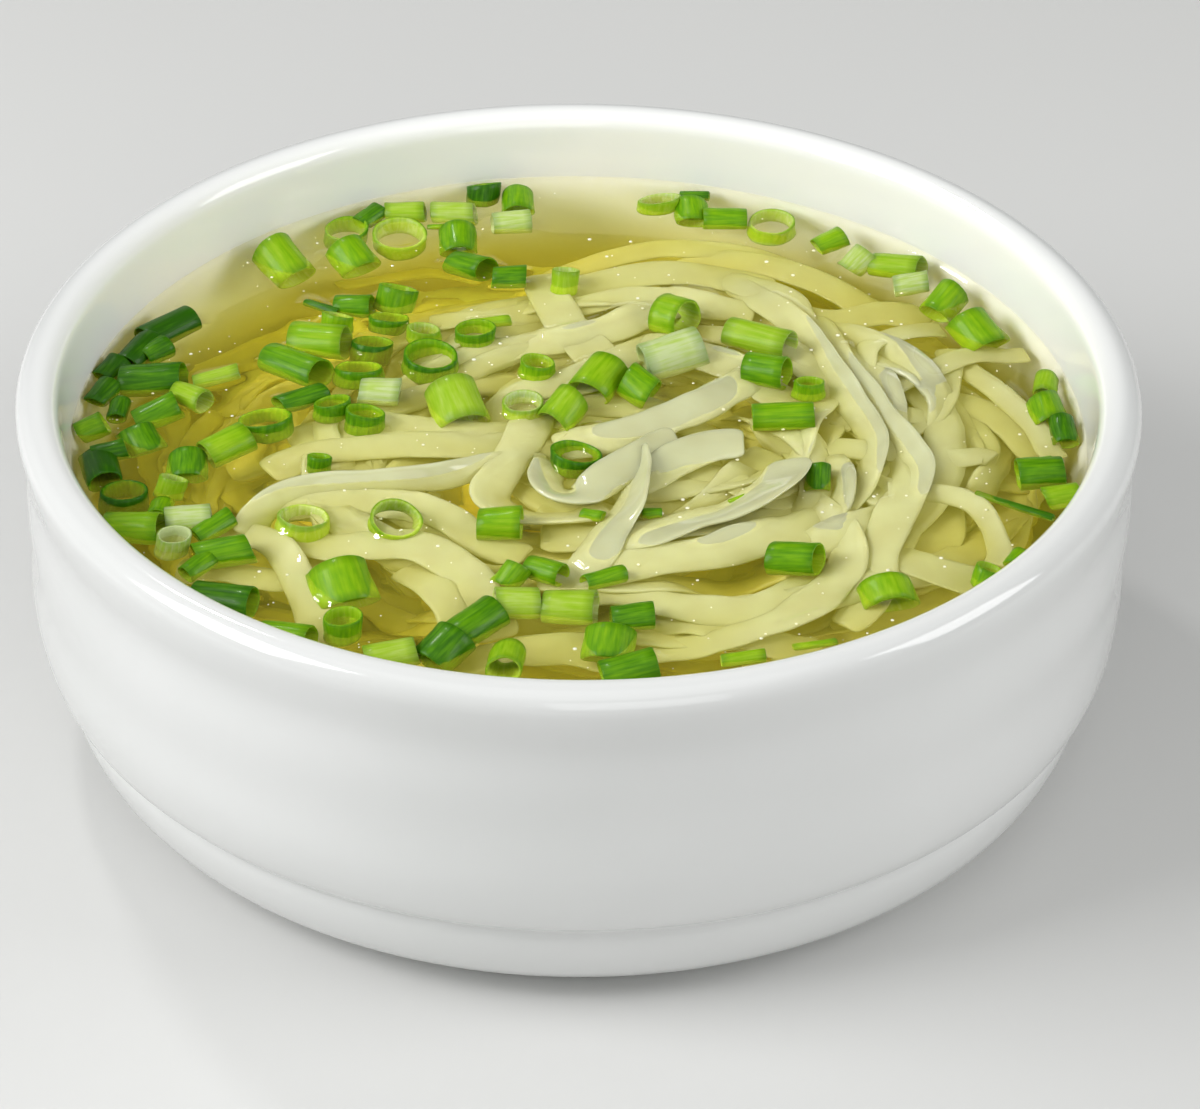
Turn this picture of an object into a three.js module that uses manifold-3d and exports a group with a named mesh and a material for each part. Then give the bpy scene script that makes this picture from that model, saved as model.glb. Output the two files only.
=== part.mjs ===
// A white glazed bowl of clear noodle soup: flat wheat noodles break the surface of a pale broth
// that carries chopped spring onion. Millimetres, +Z up, origin under the bowl's centre at its foot.
import * as THREE from "three";
import { mergeVertices } from "three/addons/utils/BufferGeometryUtils.js";
import Module from "manifold-3d";

const wasm = await Module();
wasm.setup();

// Driving dimensions.
const RIM_RADIUS = 90;
const BOWL_HEIGHT = 63;
const LIP_RADIUS = 3.5;
const BROTH_LEVEL = 50;
const FOOT_RADIUS = 77.5;
const FOOT_WIDTH = 5.5;
const FOOT_RECESS = 2.6;
const GROOVE_HEIGHT = 16.2;
const FLOOR_HEIGHT = 8.8;
const GAP = 0.35; // between pieces that touch
const CHIP_SIDES = 5; // facets round a small piece of spring onion
const WALL_REACH = 80.2; // how far out a floating piece may lie
const SHOWN_LYING = 1.0; // height of a lying piece over the broth, as a share of half its own
const SHOWN_STANDING = 0.4; // the same for one that stands
const NOODLE_REST = 0.9; // how much higher the noodles carry a piece than the broth does
const ROUND = 40; // facets round the bowl

// The heap of noodles: a wide low mound under the broth, and on it the core, whose broad crown
// just rises through the broth. For each, where its middle is, its half sizes, how far it reaches
// up and down from there, and how square its upper half is.
const MOUND = { x: 1, y: 1, z: 22, width: 72, depth: 71, height: 14, drop: 10.5, squareness: 3 };
const CORE = { x: 10, y: -4, z: 31.4, width: 62, depth: 54, height: 21, drop: 16, squareness: 4 };
const HEAP_SIDES = 24;
const NOODLE_THICK = 1.7;
const NOODLE_STEP = 6.4; // length of one straight facet along a noodle

const COLOURS = {
  glaze: 0xf2f3f0,
  broth: 0xc9ba5c,
  noodle: 0xe9e4c4,
  scallion: 0x4f9a1c,
};

// Chopped spring onion: [x, y, way the tube points, how far it points up (90 stands) or, if
// negative, down, diameter, length].
// The larger pieces, each a solid of its own.
const RINGS = [
  // along the left wall, back to front
  [-71.4, 30.6, 42, 4, 6.2, 9.5],
  [-76.6, 22.6, 64, 3, 5.4, 8.0],
  [-70.2, 13.6, 2, 6, 7.0, 9.6],
  [-68.6, 3.6, 32, 14, 5.6, 7.4],
  [-70.6, -4.0, -60, -24, 6.2, 5.4],
  [-79.0, -13.6, -76, 8, 5.6, 8.8],
  [-62.4, -11.6, -88, -24, 6.6, 5.2],
  [-71.6, -20.4, 80, 84, 7.8, 5.2],
  [-70.4, -30.2, -12, 8, 6.4, 8.6],
  [-60.8, -27.0, 4, 5, 5.4, 6.8],
  [-54.6, -36.2, 12, 6, 5.8, 8.0],
  [-53.6, -48.4, -20, 10, 6.2, 9.4],
  // back left
  [-51.4, 52.6, -52, -24, 8.0, 8.4],
  [-41.2, 63.2, 70, 82, 7.6, 4.4],
  [-39.6, 54.6, -56, -24, 7.2, 6.6],
  [-31.8, 61.6, 60, 84, 9.6, 4.0],
  [-22.4, 69.6, -10, 6, 5.4, 7.4],
  [-11.2, 73.8, -88, -12, 5.8, 5.8],
  [-21.4, 60.2, -86, -16, 6.6, 6.4],
  [-18.8, 51.6, -42, 16, 6.2, 7.4],
  // the drift left of the middle
  [-32.4, 33.2, 75, 80, 6.8, 3.6],
  [-43.6, 26.4, -18, 8, 7.4, 9.2],
  [-47.0, 18.2, -38, 6, 6.4, 10.6],
  [-35.0, 24.6, 65, 72, 6.6, 5.2],
  [-36.6, 17.0, 80, 83, 8.0, 4.0],
  [-34.8, 1.8, 70, 80, 6.0, 5.2],
  [-51.0, 1.4, 75, 82, 9.0, 4.2],
  [-56.6, -6.2, 40, 4, 6.6, 7.8],
  [-24.8, 20.0, 80, 82, 9.0, 4.4],
  [-17.6, 28.2, 80, 84, 6.6, 4.6],
  [-20.0, 6.4, -70, -22, 8.4, 8.4],
  [-43.0, -27.0, 75, 82, 8.4, 4.6],
  // on the noodles
  [3.2, 14.0, 62, 12, 7.2, 8.0],
  [-2.6, 4.6, 58, 20, 6.8, 6.6],
  [9.8, 11.8, -40, -16, 6.4, 5.4],
  [16.2, 34.0, -38, 12, 8.2, 5.0],
  [15.6, 21.4, 24, 8, 7.8, 10.0],
  [30.2, 26.6, -30, 5, 6.2, 11.0],
  [31.0, 16.6, -24, 6, 6.8, 6.8],
  [33.2, 2.6, 1, 4, 5.4, 9.6],
  [-0.4, -9.2, 85, 83, 8.0, 3.8],
  [-12.2, -28.6, -6, 10, 6.2, 6.6],
  // front
  [-36.0, -43.8, -72, -24, 9.2, 7.8],
  [-15.4, -54.2, 44, 8, 6.4, 8.4],
  [-20.0, -60.4, 50, 18, 7.2, 6.4],
  [-1.2, -50.0, -8, 5, 6.6, 7.6],
  [4.6, -58.8, -98, -22, 7.0, 5.8],
  [7.6, -65.6, 14, 8, 6.0, 8.0],
  [33.4, -37.6, -12, 10, 6.2, 7.0],
  [47.2, -45.2, -74, -24, 8.8, 4.6],
  // along the right wall, front to back
  [73.6, -12.6, 2, 6, 6.6, 7.0],
  [76.8, 6.6, -78, -16, 6.2, 5.6],
  [67.2, 31.2, -58, -22, 7.8, 7.4],
  [62.4, 40.6, -126, -22, 6.2, 6.6],
  [56.6, 53.4, -20, 8, 5.8, 8.4],
  [33.8, 66.8, 75, 84, 8.6, 3.6],
  [19.8, 71.0, -82, -18, 5.8, 5.4],
];

// The smaller pieces, fused to the broth or to the noodles that they lie on.
const CHIPS = [
  [-77.4, 16.4, 60, 10, 4.6, 5.0],
  [-78.6, 9.4, 66, 8, 4.4, 5.6],
  [-63.6, 8.4, -40, 6, 4.8, 6.2],
  [-60.0, 14.6, 24, 4, 3.2, 7.6],
  [-79.6, -2.4, 20, 30, 4.6, 4.4],
  [-75.0, -8.6, 16, 10, 4.2, 5.2],
  [-56.6, -29.2, 46, 8, 3.8, 7.0],
  [-62.4, -34.6, 20, 70, 5.2, 4.2],
  [-43.4, -58.6, -18, 6, 5.2, 7.6],
  [-35.2, -55.6, 70, 70, 5.6, 4.4],
  [-10.6, -64.4, 84, 40, 5.2, 5.4],
  [-37.2, 69.0, 50, 12, 4.2, 5.2],
  [-31.0, 69.8, -6, 6, 4.8, 6.8],
  [-17.0, 76.6, 80, 60, 5.6, 4.2],
  [-12.2, 47.6, 4, 6, 5.2, 6.2],
  [-43.8, 36.8, -40, 3, 2.4, 6.4],
  [-38.2, 37.6, 10, 8, 4.8, 5.4],
  [-31.0, 40.6, 60, 60, 6.0, 4.2],
  [-45.4, 9.6, 30, 5, 4.4, 7.4],
  [-40.2, 4.0, 80, 82, 5.6, 3.6],
  [-32.6, 10.0, 4, 6, 5.2, 5.6],
  [-7.0, 18.4, 75, 76, 5.4, 3.0],
  [-9.4, 6.6, 70, 80, 5.6, 2.8],
  [37.8, 11.4, 75, 78, 4.8, 3.6],
  [38.4, -14.8, 70, 20, 3.8, 4.6],
  [-28.2, -27.6, -60, 70, 7.4, 3.2],
  [-5.0, -40.8, -34, 10, 4.8, 5.6],
  [-9.2, -49.4, -6, 6, 5.4, 6.0],
  [8.4, -53.0, 4, 8, 5.0, 5.6],
  [77.8, -19.4, 20, 14, 4.4, 4.4],
  [69.0, -21.4, -25, 3, 2.4, 11.0],
  [76.6, 13.6, 84, 14, 4.4, 4.6],
  [79.4, 0.0, -82, 12, 4.4, 5.6],
  [48.6, 53.8, 34, 14, 5.2, 5.4],
  [26.4, 68.8, -8, 8, 5.4, 5.8],
  [13.6, 73.4, 75, 82, 6.6, 3.6],
];

// Noodles that reach the surface: the width, how far each lies over the ones below it, and the
// places that its middle passes, as [x, y, roll].
const NOODLES = [
  [8.0, 0.0, [[-52, -30, 12], [-44, -19.5, 18], [-33, -16.5, 20], [-20, -13, 13], [-7, -9, 5]]],
  [8.0, 0.6, [[-34, -5, 4], [-22, -3.6, 2], [-10, -4.4, 5], [2, -3.4, 6], [10, -2.4, 5]]],
  [8.4, 1.5, [[4, -3.4, 4], [11, 0.4, 8], [18, 5.4, 12], [25.4, 10.6, 6]]],
  [7.0, 0.3, [[-28, 12.2, 4], [-19, 12.6, 5], [-9, 12.6, 2], [-3, 20.4, 6], [3, 29, 11], [9, 36, 2]]],
  [7.2, 0.8, [
    [28, 46, 2], [36, 34, 11], [40.4, 23, 20], [43.6, 11, 22],
    [46, -3, 18], [46, -14, 13], [41, -25, 4],
  ]],
  [7.4, 0.2, [[46, 20, 6], [50, 10, 13], [52.6, -2, 16], [53, -14, 7], [50, -26, 4], [47, -37, 2]]],
  [6.6, 0.0, [[45, 8, 4], [50, 14, 6], [57, 19, 7], [64, 22.6, 5], [71, 24, 2]]],
  [7.2, 0.0, [[30, -6, 2], [42, -6, 4], [54, -5, 5], [62, -6.2, 4], [68, -7.6, 2]]],
  [6.4, 0.0, [[44, -13, 2], [54, -17.4, 12], [61, -23, 19], [64.5, -31, 18], [63, -37, 7]]],
  [6.8, 1.0, [[9, -10.8, 5], [15, -8, 7], [21.5, -5.6, 6], [27.4, -4.4, 4]]],
  [9.0, 1.3, [
    [32, -10.4, 18], [28, -17, 16], [21, -22.6, 13],
    [12, -27, 12], [3, -30.4, 7], [-5, -33.4, 4],
  ]],
  [7.6, 0.6, [
    [-10, -14, 18], [-7, -19, 16], [0, -20, 8],
    [6, -16.4, 10], [11, -11.4, 12], [15.6, -7.4, 18],
  ]],
  [8.6, 1.0, [[-6, -39, 5], [0, -34.6, 8], [6, -28, 14], [9.6, -20.6, 18], [10, -14, 12]]],
  [8.0, 0.2, [[37, -30, 4], [26, -32, 7], [15, -35.4, 8], [6, -38.4, 6], [-1, -43, 2]]],
  [7.0, 0.0, [[-10, 1.6, 4], [-12, -7, 7], [-12, -14, 12], [-9, -21.6, 14], [-2, -25, 10], [6, -24, 4]]],
  [6.6, 0.5, [[37, -2, 5], [36, -13, 12], [37.6, -25, 14], [41.6, -34, 11], [40, -44, 6], [32, -53, 2]]],
  [8.2, 0.0, [[-37, -31, 2], [-31, -26, 6], [-24, -24, 5], [-19, -30, 10], [-18.6, -41, 7]]],
  [8.0, 0.0, [[-8, 25, 2], [-4, 31.6, 5], [3, 37.4, 7], [12, 43, 4], [22, 46.6, 2]]],
];

const degrees = THREE.MathUtils.degToRad;

// A closed three.js geometry as a solid.
function solidOf(geometry) {
  const bare = geometry.clone();
  bare.deleteAttribute("normal");
  bare.deleteAttribute("uv");
  const merged = mergeVertices(bare, 1e-4);
  return new wasm.Manifold(
    new wasm.Mesh({
      numProp: 3,
      vertProperties: merged.attributes.position.array,
      triVerts: new Uint32Array(merged.index.array),
    }),
  );
}

// The largest body of a solid, as a named mesh.
function meshOf(name, solid, colour, roughness) {
  const largest = solid.decompose().sort((a, b) => b.volume() - a.volume())[0];
  const { numVert, numProp, vertProperties, triVerts } = largest.getMesh();
  const places = new Float32Array(numVert * 3);
  for (let i = 0; i < numVert; i++) {
    places.set(vertProperties.subarray(i * numProp, i * numProp + 3), i * 3);
  }
  const geometry = new THREE.BufferGeometry();
  geometry.setAttribute("position", new THREE.BufferAttribute(places, 3));
  geometry.setIndex(new THREE.BufferAttribute(triVerts, 1));
  geometry.computeVertexNormals();
  const material = new THREE.MeshStandardMaterial({ color: colour, roughness, metalness: 0 });
  const mesh = new THREE.Mesh(geometry, material);
  mesh.name = name;
  return mesh;
}

// A profile of [radius, height] pairs turned about the bowl's axis.
function turned(profile) {
  const points = profile.map(([radius, height]) => new THREE.Vector2(radius, height));
  return new THREE.LatheGeometry(points, ROUND).rotateX(Math.PI / 2);
}

// The bowl's inner wall, from the middle of its floor up to the lip.
function innerWall() {
  return [
    [0, FLOOR_HEIGHT],
    [52, FLOOR_HEIGHT + 0.8],
    [66, 12.8],
    [75, 19.2],
    [79.4, 28.6],
    [81.2, 39],
    [81.8, BROTH_LEVEL],
    [82.7, 56.2],
  ];
}

// The bowl's outside, from the recess under its floor up to the neck under the lip.
function outerWall() {
  const footTop = 2.4;
  return [
    [0, FOOT_RECESS],
    [FOOT_RADIUS - FOOT_WIDTH - 1.4, FOOT_RECESS],
    [FOOT_RADIUS - FOOT_WIDTH, 0],
    [FOOT_RADIUS, 0],
    [FOOT_RADIUS + 0.2, footTop],
    [FOOT_RADIUS + 3.8, footTop + 0.9],
    [FOOT_RADIUS + 7.2, 7.8],
    [FOOT_RADIUS + 8.6, 12.6],
    [FOOT_RADIUS + 8.7, GROOVE_HEIGHT],
    [RIM_RADIUS - 1.8, 20.4],
    [RIM_RADIUS - 0.5, 29],
    [RIM_RADIUS - 0.5, 41],
    [RIM_RADIUS - 1.0, 50],
    [RIM_RADIUS - 0.4, 56],
  ];
}

// The rounded lip, over the top from the outside to the inside.
function lip() {
  const steps = 6;
  const centre = [RIM_RADIUS - LIP_RADIUS, BOWL_HEIGHT - LIP_RADIUS];
  return Array.from({ length: steps + 1 }, (_, i) => {
    const angle = (Math.PI * i) / steps;
    return [centre[0] + LIP_RADIUS * Math.cos(angle), centre[1] + LIP_RADIUS * Math.sin(angle)];
  });
}

function bowlSolid() {
  return solidOf(turned([...outerWall(), ...lip(), ...innerWall().reverse()]));
}

// The broth fills the bowl up to its level, a gap inside the wall.
function brothSolid() {
  const wall = innerWall().filter(([, height]) => height <= BROTH_LEVEL);
  const side = wall.map(([radius, height], i) => [
    Math.max(0, radius - GAP * 1.2),
    i < wall.length - 1 ? height + GAP : BROTH_LEVEL,
  ]);
  return solidOf(turned([...side, [0, BROTH_LEVEL]]));
}

// How high a part of the heap stands at a share of its width, as a share of its height.
const crown = (share, squareness) => (1 - share ** squareness) ** (1 / squareness);

// One part of the noodle heap, grown all round by a margin.
function heapPart(form, margin) {
  const under = [0, 0.8].map((share) => [share, -form.drop * crown(share, 2) - margin]);
  const over = [1, 0.96, 0.88, 0.78, 0.62, 0].map((share) => [
    share,
    form.height * crown(share, form.squareness) + (share < 1 ? margin : 0),
  ]);
  const profile = [...under, ...over].map(([share, height]) => new THREE.Vector2(share, height));
  const dome = new THREE.LatheGeometry(profile, HEAP_SIDES).rotateX(Math.PI / 2);
  dome.scale(form.width + margin, form.depth + margin, 1);
  return solidOf(dome.translate(form.x, form.y, form.z));
}

const heapCore = (margin) => heapPart(CORE, margin).add(heapPart(MOUND, margin));

// Height of the surface that a noodle lies on.
function bedHeight(x, y) {
  const share = Math.hypot((x - CORE.x) / CORE.width, (y - CORE.y) / CORE.depth);
  const dome = share < 1 ? CORE.z + CORE.height * crown(share, CORE.squareness) : 0;
  return Math.max(dome, BROTH_LEVEL);
}

// A flat noodle: a long box bent along its middle line and rolled about it.
function noodleSolid(width, lift, places) {
  const line = new THREE.CatmullRomCurve3(places.map(([x, y]) => new THREE.Vector3(x, y, 0)));
  const steps = Math.round(line.getLength() / NOODLE_STEP);
  const strip = new THREE.BoxGeometry(1, width, NOODLE_THICK, steps, 1, 1);
  const spots = strip.attributes.position;
  for (let i = 0; i < spots.count; i++) {
    const along = spots.getX(i) + 0.5;
    const share = along * (places.length - 1);
    const before = Math.min(Math.floor(share), places.length - 2);
    const roll = degrees(
      THREE.MathUtils.lerp(places[before][2], places[before + 1][2], share - before),
    );
    const middle = line.getPoint(along);
    const heading = line.getTangent(along);
    const across = spots.getY(i) * Math.cos(roll) - spots.getZ(i) * Math.sin(roll);
    const upward = spots.getY(i) * Math.sin(roll) + spots.getZ(i) * Math.cos(roll);
    const halfHeight = (width * Math.sin(Math.abs(roll)) + NOODLE_THICK * Math.cos(roll)) / 2;
    const bed = Math.max(bedHeight(middle.x, middle.y) - 1.2, BROTH_LEVEL + GAP);
    spots.setXYZ(
      i,
      middle.x - heading.y * across,
      middle.y + heading.x * across,
      bed + lift * Math.sin(Math.PI * along) + halfHeight + upward,
    );
  }
  return solidOf(strip);
}

// Where a piece of spring onion lies: its middle and the turn that lays its axis. A piece that
// would reach past the bowl's wall is drawn in towards the middle.
function scallionPose([wantedX, wantedY, way, tilt, diameter, length]) {
  const pitch = degrees(tilt);
  const fromRadius = degrees(way) - Math.atan2(wantedY, wantedX);
  const reach =
    (length * Math.cos(pitch) * Math.abs(Math.cos(fromRadius)) +
      diameter * Math.max(Math.abs(Math.sin(fromRadius)), Math.abs(Math.sin(pitch)))) /
    2;
  const inward = Math.min(1, (WALL_REACH - reach) / Math.hypot(wantedX, wantedY));
  const x = wantedX * inward;
  const y = wantedY * inward;
  const rise = Math.abs(Math.sin(pitch));
  const halfHeight = (length * rise + diameter * Math.cos(pitch)) / 2;
  const bed = BROTH_LEVEL + (bedHeight(x, y) > BROTH_LEVEL ? NOODLE_REST : 0);
  const shown = THREE.MathUtils.lerp(SHOWN_LYING, SHOWN_STANDING, rise);
  const heading = new THREE.Vector3(
    Math.cos(degrees(way)) * Math.cos(pitch),
    Math.sin(degrees(way)) * Math.cos(pitch),
    Math.sin(pitch),
  );
  const turn = new THREE.Quaternion().setFromUnitVectors(new THREE.Vector3(0, 1, 0), heading);
  return { middle: new THREE.Vector3(x, y, bed + (shown - 1) * halfHeight), turn };
}

function placed(geometry, row) {
  const { middle, turn } = scallionPose(row);
  return geometry.applyQuaternion(turn).translate(middle.x, middle.y, middle.z);
}

// A wide piece has more sides than a narrow one.
const sidesOf = ([, , , , diameter]) => (diameter > 7.1 ? 8 : 6);

// A cut length of hollow spring onion leaf.
function ringSolid(row) {
  const [, , , , diameter, length] = row;
  const outer = diameter / 2;
  const inner = outer - Math.max(0.9, diameter * 0.14);
  const section = [
    [outer, -length / 2],
    [outer, length / 2],
    [inner, length / 2],
    [inner, -length / 2],
    [outer, -length / 2],
  ].map(([radius, height]) => new THREE.Vector2(radius, height));
  return solidOf(placed(new THREE.LatheGeometry(section, sidesOf(row)), row));
}

// The same piece without its hole, grown by a margin.
function stubSolid(row, margin, sides = sidesOf(row)) {
  const [, , , , diameter, length] = row;
  const radius = diameter / 2 + margin * 1.2;
  return solidOf(placed(new THREE.CylinderGeometry(radius, radius, length + 2 * margin, sides), row));
}

const onNoodles = ([x, y]) => bedHeight(x, y) > BROTH_LEVEL;
const together = (solids) => wasm.Manifold.union(solids);

const hollows = together(RINGS.map((row) => stubSolid(row, GAP)));
const [onHeap, afloat] = [true, false].map((rests) => CHIPS.filter((row) => onNoodles(row) === rests));
const chipStubs = (rows, margin) => together(rows.map((row) => stubSolid(row, margin, CHIP_SIDES)));

const strands = NOODLES.map(([width, lift, places]) => noodleSolid(width, lift, places));
const heap = together([heapCore(0), ...strands])
  .subtract(chipStubs(afloat, GAP))
  .add(chipStubs(onHeap, 0))
  .subtract(hollows);

const broth = brothSolid()
  .add(chipStubs(afloat, 0))
  .subtract(hollows)
  .subtract(chipStubs(onHeap, GAP))
  .subtract(heapCore(GAP));

const soup = new THREE.Group();
soup.add(meshOf("bowl", bowlSolid(), COLOURS.glaze, 0.15));
soup.add(meshOf("broth", broth, COLOURS.broth, 0.05));
soup.add(meshOf("noodles", heap, COLOURS.noodle, 0.4));

// Each larger piece of spring onion, trimmed where it presses on one before it.
const laid = [];
RINGS.forEach((row, i) => {
  const trimmed = laid.reduce((piece, other) => piece.subtract(other), ringSolid(row));
  laid.push(stubSolid(row, GAP));
  soup.add(meshOf(`scallion_${String(i + 1).padStart(2, "0")}`, trimmed, COLOURS.scallion, 0.35));
});

export default soup;
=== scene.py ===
"""A white bowl of clear noodle soup with spring onion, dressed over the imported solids."""

import math
import random

import bpy
from mathutils import Matrix, Quaternion, Vector, noise
from mathutils.bvhtree import BVHTree


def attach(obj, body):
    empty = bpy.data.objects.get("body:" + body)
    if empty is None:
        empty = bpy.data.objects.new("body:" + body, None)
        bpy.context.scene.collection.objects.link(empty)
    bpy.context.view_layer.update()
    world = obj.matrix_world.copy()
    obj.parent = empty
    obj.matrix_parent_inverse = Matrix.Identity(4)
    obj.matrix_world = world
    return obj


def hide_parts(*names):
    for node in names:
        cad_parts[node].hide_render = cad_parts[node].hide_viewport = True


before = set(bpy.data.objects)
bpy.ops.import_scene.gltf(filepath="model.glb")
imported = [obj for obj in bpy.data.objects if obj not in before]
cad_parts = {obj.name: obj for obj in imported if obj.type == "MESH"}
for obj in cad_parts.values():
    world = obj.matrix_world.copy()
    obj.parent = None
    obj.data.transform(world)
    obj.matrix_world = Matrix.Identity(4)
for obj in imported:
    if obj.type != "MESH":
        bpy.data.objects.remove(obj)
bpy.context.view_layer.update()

MM = 0.001
LEVEL = 50.0  # height of the broth
WALL_AT_LEVEL = 81.8  # inner radius of the bowl there
BEND = 0.81  # how far a sunk thing seems to slip towards the viewer for each millimetre of depth
RISE = 1.34  # how far a thing that stands out seems to slip away for each millimetre of height

# The camera: where it stands, what it looks at, its roll and its lens.
CAMERA_PLACE = (0.0, -507.6, 378.2)
CAMERA_AIM = (3.54, -11.1, 32.9)
CAMERA_ROLL = math.radians(0.602)
CAMERA_LENS = 111.83


# ---------------------------------------------------------------- hand tools

def deselect():
    """Leave nothing selected, so that an operator touches only what comes next."""
    bpy.ops.object.select_all(action="DESELECT")


def pick(*pieces):
    deselect()
    for piece in pieces:
        piece.select_set(True)
    bpy.context.view_layer.objects.active = pieces[0]


def apply_modifier(piece, kind, **settings):
    pick(piece)
    modifier = piece.modifiers.new(kind.title(), kind)
    for setting, value in settings.items():
        setattr(modifier, setting, value)
    bpy.ops.object.modifier_apply(modifier=modifier.name)


def smooth(piece):
    pick(piece)
    bpy.ops.object.shade_smooth()


def copy_of(piece, name):
    """A copy with a mesh of its own."""
    twin = piece.copy()
    twin.data = piece.data.copy()
    twin.name = twin.data.name = name
    bpy.context.collection.objects.link(twin)
    return twin


def join(name, pieces):
    pick(*pieces)
    bpy.ops.object.join()
    pieces[0].name = pieces[0].data.name = name
    return pieces[0]


def discard(*things):
    for thing in things:
        bpy.data.objects.remove(thing, do_unlink=True)


def turn(name, profile, steps):
    """A shape turned about the upright axis from [radius, height] places in millimetres."""
    deselect()
    bpy.ops.mesh.primitive_plane_add(size=MM)
    piece = bpy.context.object
    piece.name = piece.data.name = name
    bpy.ops.object.mode_set(mode="EDIT")
    bpy.ops.mesh.merge(type="CENTER")
    radius, height = profile[0]
    bpy.ops.transform.translate(value=(radius * MM, 0, height * MM))
    for next_radius, next_height in profile[1:]:
        step = ((next_radius - radius) * MM, 0, (next_height - height) * MM)
        bpy.ops.mesh.extrude_region_move(TRANSFORM_OT_translate={"value": step})
        radius, height = next_radius, next_height
    bpy.ops.mesh.select_all(action="SELECT")
    bpy.ops.mesh.spin(steps=steps, angle=math.tau, center=(0, 0, 0), axis=(0, 0, 1))
    bpy.ops.mesh.select_all(action="SELECT")
    bpy.ops.mesh.remove_doubles(threshold=0.005 * MM)
    bpy.ops.mesh.normals_make_consistent(inside=False)
    bpy.ops.object.mode_set(mode="OBJECT")
    smooth(piece)
    return piece


def give(piece, material, slot_name, *nodes):
    """Dress a piece, let it ride on the bowl's body and hide the solids it stands for."""
    piece.data.materials.clear()
    piece.data.materials.append(material)
    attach(piece, "root")
    if nodes:
        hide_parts(*nodes)


# ---------------------------------------------------------------- materials

class Finish:
    """A material under construction, with short ways to add and join its nodes."""

    def __init__(self, name):
        self.material = bpy.data.materials.new(name)
        self.material.use_nodes = True
        self.tree = self.material.node_tree
        self.skin = self.tree.nodes["Principled BSDF"]
        self.out = self.tree.nodes["Material Output"]

    def node(self, kind, inputs=(), **settings):
        node = self.tree.nodes.new("ShaderNode" + kind)
        for setting, value in settings.items():
            setattr(node, setting, value)
        for socket, value in dict(inputs).items():
            self.feed(node.inputs[socket], value)
        return node

    def feed(self, socket, value):
        if isinstance(value, bpy.types.NodeSocket):
            self.tree.links.new(value, socket)
        else:
            socket.default_value = value

    def set(self, **values):
        for socket, value in values.items():
            self.feed(self.skin.inputs[socket.replace("_", " ")], value)

    def place(self):
        return self.node("TexCoord").outputs["Object"]

    def height(self, low, high):
        """0 at one height and 1 at another, in millimetres."""
        split = self.node("SeparateXYZ", {"Vector": self.place()})
        ranged = self.node("MapRange", {"Value": split.outputs["Z"], "From Min": low * MM,
                                        "From Max": high * MM})
        return ranged.outputs["Result"]

    def ramp(self, value, *stops):
        node = self.node("ValToRGB", {"Fac": value})
        node.color_ramp.interpolation = "B_SPLINE" if len(stops) > 4 else "LINEAR"
        points = node.color_ramp.elements
        while len(points) < len(stops):
            points.new(0.5)
        for point, (position, colour) in zip(points, stops):
            point.position = position
            point.color = (*colour, 1)
        return node.outputs["Color"]

    def noise(self, scale, detail=3.0, vector=None, distortion=0.0):
        node = self.node("TexNoise", {"Scale": scale, "Detail": detail, "Distortion": distortion,
                                      "Vector": vector or self.place()})
        return node.outputs["Fac"]

    def math(self, operation, a, b=0.0, clamp=False):
        node = self.node("Math", {0: a, 1: b}, operation=operation, use_clamp=clamp)
        return node.outputs["Value"]

    def mix(self, share, a, b, blend="MIX"):
        node = self.node("Mix", {}, data_type="RGBA", blend_type=blend)
        for socket, value in (("Factor_Float", share), ("A_Color", a), ("B_Color", b)):
            found = next(s for s in node.inputs if s.identifier == socket)
            self.feed(found, (*value, 1) if isinstance(value, tuple) else value)
        return next(s for s in node.outputs if s.identifier == "Result_Color")

    def bump(self, height, strength, distance):
        node = self.node("Bump", {"Height": height, "Strength": strength,
                                  "Distance": distance * MM})
        self.feed(self.skin.inputs["Normal"], node.outputs["Normal"])


def porcelain():
    """White glaze, painted whiter inside than outside: the outer white is darkened as painted shade, and under the
    broth the inner white takes a painted broth tint and shade that deepens with depth.
    """
    glaze = Finish("white glaze")
    # Outside: faint random mottling of the glaze, over a white painted darker as shade.
    outer_mottle_and_shade = glaze.ramp(glaze.noise(18, 2), (0.3, (0.69, 0.70, 0.69)), (0.7, (0.73, 0.735, 0.73)))
    # Inside: painted broth tint and shade, golden brown deep down and white near the level and above it.
    painted_depth_tint = glaze.ramp(
        glaze.height(8, LEVEL),
        (0.0, (0.86, 0.54, 0.005)), (0.4, (0.92, 0.82, 0.10)), (0.62, (0.96, 0.95, 0.72)),
        (0.8, (0.96, 0.97, 0.92)), (1.0, (0.95, 0.955, 0.94)))
    inside = glaze.node("Attribute", attribute_name="inside").outputs["Fac"]
    glaze.set(Base_Color=glaze.mix(inside, outer_mottle_and_shade, painted_depth_tint), Roughness=0.1, IOR=1.5,
              Coat_Weight=0.3, Coat_Roughness=0.04)
    glaze.bump(glaze.noise(60, 1), 0.08, 0.3)
    return glaze.material


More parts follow.
